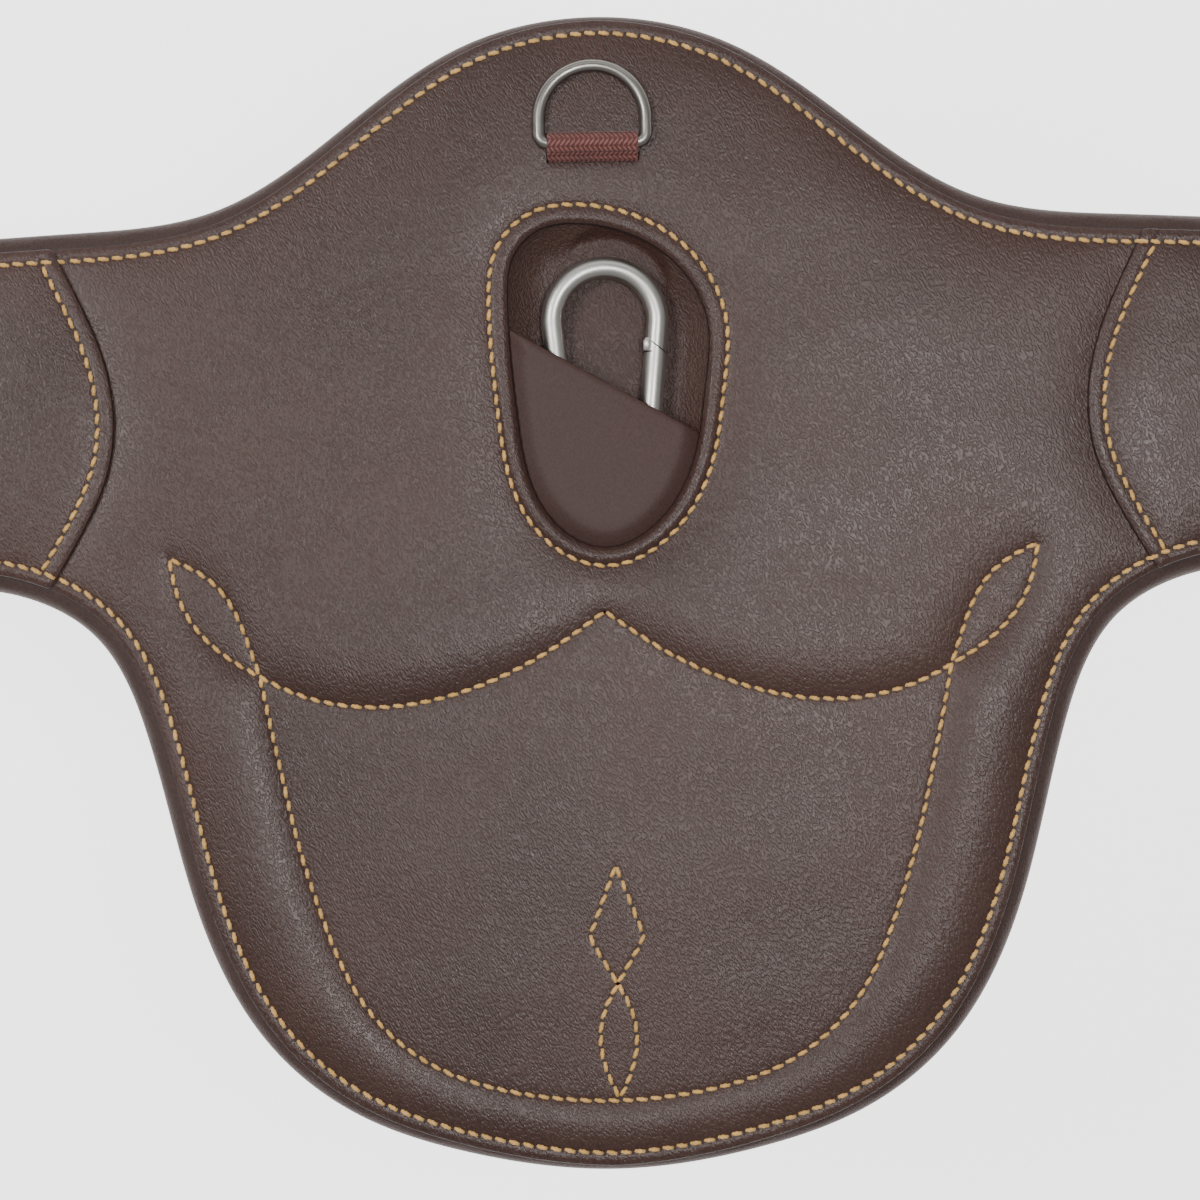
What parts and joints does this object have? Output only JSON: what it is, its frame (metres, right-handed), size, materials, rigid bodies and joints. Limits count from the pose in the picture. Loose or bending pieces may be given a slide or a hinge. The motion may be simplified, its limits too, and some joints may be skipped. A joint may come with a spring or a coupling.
{
  "type": "stud guard girth",
  "caption": "Padded leather girth with a belly guard, a D-ring, a recessed snap hook under a flap, and elastic straps with roller buckles.",
  "frame": {"origin": "on the resting plane, under the middle of the bounding box", "axes": "+X along the girth from buckles to buckles, +Y towards the horse's chest, +Z out of the leather face"},
  "size_m": [0.75, 0.36, 0.02],
  "materials": {
    "lining_leather": "soft drum-dyed lining leather",
    "front_leather": "waxed full-grain leather",
    "cover_leather": "waxed full-grain leather",
    "pocket_leather": "grained lining leather",
    "flap_leather": "smooth thin leather",
    "hook_strap": "flat nylon tape",
    "foam": "closed-cell foam",
    "load_webbing": "woven polyester webbing",
    "ring_tape": "woven polypropylene tape",
    "elastic_web": "woven elastic",
    "thread": "bonded nylon thread",
    "insert_sheet": "polyethylene sheet",
    "ring_steel": "tumbled stainless",
    "hook_steel": "tumbled stainless",
    "gate_steel": "tumbled stainless",
    "spring_steel": "spring wire",
    "buckle_steel": "tumbled stainless",
    "tongue_steel": "tumbled stainless",
    "roller_steel": "rolled stainless"
  },
  "bodies": {
    "girth": {"lining_center": "lining_leather", "foam_center": "foam", "load_strap_center": "load_webbing", "front_leather_center": "front_leather", "impact_insert": "insert_sheet", "pocket_liner": "pocket_leather", "pocket_flap": "flap_leather", "d_ring_tape": "ring_tape", "seam_chest_edge": "thread", "seam_belly_edge": "thread", "seam_pocket": "thread", "seam_guard": "thread", "seam_motif": "thread"},
    "arm_left": {"lining_left": "lining_leather", "foam_left": "foam", "load_strap_left": "load_webbing", "front_leather_left": "front_leather", "arm_cover_left": "cover_leather", "seam_arm_edge_left": "thread", "seam_cover_left": "thread", "seam_strap_left_front": "thread", "seam_strap_left_rear": "thread"},
    "arm_right": {"lining_right": "lining_leather", "foam_right": "foam", "load_strap_right": "load_webbing", "front_leather_right": "front_leather", "arm_cover_right": "cover_leather", "seam_arm_edge_right": "thread", "seam_cover_right": "thread", "seam_strap_right_front": "thread", "seam_strap_right_rear": "thread"},
    "ring": {"d_ring": "ring_steel"},
    "hook_tether": {"hook_strap": "hook_strap"},
    "hook": {"hook_body": "hook_steel"},
    "gate": {"hook_gate": "gate_steel", "gate_pin": "gate_steel", "gate_spring": "spring_steel"},
    "elastic_left_front": {"elastic_left_front": "elastic_web"},
    "buckle_left_front": {"buckle_frame_left_front": "buckle_steel"},
    "tongue_left_front": {"buckle_tongue_left_front": "tongue_steel"},
    "roller_left_front": {"buckle_roller_left_front": "roller_steel"},
    "elastic_left_rear": {"elastic_left_rear": "elastic_web"},
    "buckle_left_rear": {"buckle_frame_left_rear": "buckle_steel"},
    "tongue_left_rear": {"buckle_tongue_left_rear": "tongue_steel"},
    "roller_left_rear": {"buckle_roller_left_rear": "roller_steel"},
    "elastic_right_front": {"elastic_right_front": "elastic_web"},
    "buckle_right_front": {"buckle_frame_right_front": "buckle_steel"},
    "tongue_right_front": {"buckle_tongue_right_front": "tongue_steel"},
    "roller_right_front": {"buckle_roller_right_front": "roller_steel"},
    "elastic_right_rear": {"elastic_right_rear": "elastic_web"},
    "buckle_right_rear": {"buckle_frame_right_rear": "buckle_steel"},
    "tongue_right_rear": {"buckle_tongue_right_rear": "tongue_steel"},
    "roller_right_rear": {"buckle_roller_right_rear": "roller_steel"}
  },
  "joints": [
    {"name": "arm_bend_left", "type": "hinge", "parent": "girth", "child": "arm_left", "pos_m": [-0.1515, 0.06, 0], "axis": [0, -1, 0], "range_deg": [0, 50]},
    {"name": "arm_bend_right", "type": "hinge", "parent": "girth", "child": "arm_right", "pos_m": [0.1515, 0.06, 0], "axis": [0, 1, 0], "range_deg": [0, 50]},
    {"name": "ring_flip", "type": "hinge", "parent": "girth", "child": "ring", "pos_m": [-0.001, 0.1403, 0.0167], "axis": [1, 0, 0], "range_deg": [0, 168]},
    {"name": "hook_slide", "type": "slide", "parent": "girth", "child": "hook_tether", "axis": [0, 1, 0], "range_m": [0, 0.006]},
    {"name": "hook_swing", "type": "hinge", "parent": "hook_tether", "child": "hook", "pos_m": [0.0018, 0.0415, 0.0085], "axis": [0, 0, 1], "range_deg": [-4, 4]},
    {"name": "gate_open", "type": "hinge", "parent": "hook", "child": "gate", "pos_m": [0.01498, 0.04833, 0.0085], "axis": [0, 0, 1], "range_deg": [0, 25], "stiffness_Nm_per_rad": 0.03, "springref_deg": -17.19},
    {"name": "stretch_left_front", "type": "slide", "parent": "arm_left", "child": "elastic_left_front", "axis": [-1, 0, 0], "range_m": [0, 0.012], "stiffness_N_per_m": 4000},
    {"name": "buckle_pivot_left_front", "type": "hinge", "parent": "elastic_left_front", "child": "buckle_left_front", "pos_m": [-0.34575, 0.084, 0.00435], "axis": [0, 1, 0], "range_deg": [-50, 60]},
    {"name": "tongue_lift_left_front", "type": "hinge", "parent": "buckle_left_front", "child": "tongue_left_front", "pos_m": [-0.34575, 0.084, 0.00435], "axis": [0, 1, 0], "range_deg": [0, 60]},
    {"name": "roller_spin_left_front", "type": "hinge", "parent": "buckle_left_front", "child": "roller_left_front", "pos_m": [-0.37173, 0.084, 0.00325], "axis": [0, 1, 0], "continuous": true},
    {"name": "stretch_left_rear", "type": "slide", "parent": "arm_left", "child": "elastic_left_rear", "axis": [-1, 0, 0], "range_m": [0, 0.012], "stiffness_N_per_m": 4000},
    {"name": "buckle_pivot_left_rear", "type": "hinge", "parent": "elastic_left_rear", "child": "buckle_left_rear", "pos_m": [-0.34575, 0.036, 0.00435], "axis": [0, 1, 0], "range_deg": [-50, 60]},
    {"name": "tongue_lift_left_rear", "type": "hinge", "parent": "buckle_left_rear", "child": "tongue_left_rear", "pos_m": [-0.34575, 0.036, 0.00435], "axis": [0, 1, 0], "range_deg": [0, 60]},
    {"name": "roller_spin_left_rear", "type": "hinge", "parent": "buckle_left_rear", "child": "roller_left_rear", "pos_m": [-0.37173, 0.036, 0.00325], "axis": [0, 1, 0], "continuous": true},
    {"name": "stretch_right_front", "type": "slide", "parent": "arm_right", "child": "elastic_right_front", "axis": [1, 0, 0], "range_m": [0, 0.012], "stiffness_N_per_m": 4000},
    {"name": "buckle_pivot_right_front", "type": "hinge", "parent": "elastic_right_front", "child": "buckle_right_front", "pos_m": [0.34575, 0.084, 0.00435], "axis": [0, -1, 0], "range_deg": [-50, 60]},
    {"name": "tongue_lift_right_front", "type": "hinge", "parent": "buckle_right_front", "child": "tongue_right_front", "pos_m": [0.34575, 0.084, 0.00435], "axis": [0, -1, 0], "range_deg": [0, 60]},
    {"name": "roller_spin_right_front", "type": "hinge", "parent": "buckle_right_front", "child": "roller_right_front", "pos_m": [0.37173, 0.084, 0.00325], "axis": [0, 1, 0], "continuous": true},
    {"name": "stretch_right_rear", "type": "slide", "parent": "arm_right", "child": "elastic_right_rear", "axis": [1, 0, 0], "range_m": [0, 0.012], "stiffness_N_per_m": 4000},
    {"name": "buckle_pivot_right_rear", "type": "hinge", "parent": "elastic_right_rear", "child": "buckle_right_rear", "pos_m": [0.34575, 0.036, 0.00435], "axis": [0, -1, 0], "range_deg": [-50, 60]},
    {"name": "tongue_lift_right_rear", "type": "hinge", "parent": "buckle_right_rear", "child": "tongue_right_rear", "pos_m": [0.34575, 0.036, 0.00435], "axis": [0, -1, 0], "range_deg": [0, 60]},
    {"name": "roller_spin_right_rear", "type": "hinge", "parent": "buckle_right_rear", "child": "roller_right_rear", "pos_m": [0.37173, 0.036, 0.00325], "axis": [0, 1, 0], "continuous": true}
  ]
}
